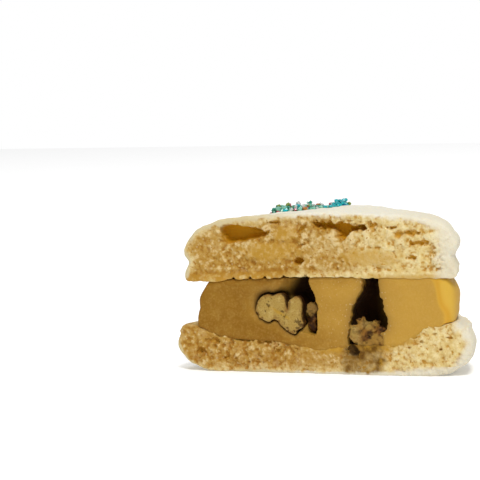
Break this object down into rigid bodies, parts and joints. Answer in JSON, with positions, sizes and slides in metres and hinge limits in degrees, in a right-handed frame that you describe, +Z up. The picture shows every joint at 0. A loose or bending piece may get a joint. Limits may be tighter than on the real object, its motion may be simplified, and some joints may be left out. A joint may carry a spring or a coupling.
{
  "type": "macaron ice cream sandwich",
  "caption": "Cut half of a round macaron ice cream sandwich: domed and dished almond shells round thick ice cream with walnut, and an arch of coarse sugar on the dome.",
  "frame": {"origin": "under the middle of the bounding box, on the plane that the lower shell rests on", "axes": "+X along the cut, from its left end to its right end as seen from the cut side; +Y from the cut face into the food; +Z up"},
  "size_m": [0.0748, 0.0374, 0.0403],
  "materials": {
    "macaron_shell": "baked almond meringue: pale ivory matt skin with a fine grain, and a moist, pitted, gold to cream crumb where it is cut",
    "ice_cream": "smooth caramel-coloured ice cream, satin where it is cut and glossy where it has begun to melt",
    "walnut": "walnut kernel: pale beige cut face inside a thin dark brown skin",
    "coarse_sugar": "clear coarse sugar crystals, mostly sea green, with blue, rose, amber and pale ones among them"
  },
  "bodies": {
    "root": {"lower_shell": "macaron_shell", "ice_cream": "ice_cream", "upper_shell": "macaron_shell", "walnut_left": "walnut", "walnut_middle": "walnut", "walnut_right": "walnut"}
  },
  "joints": []
}
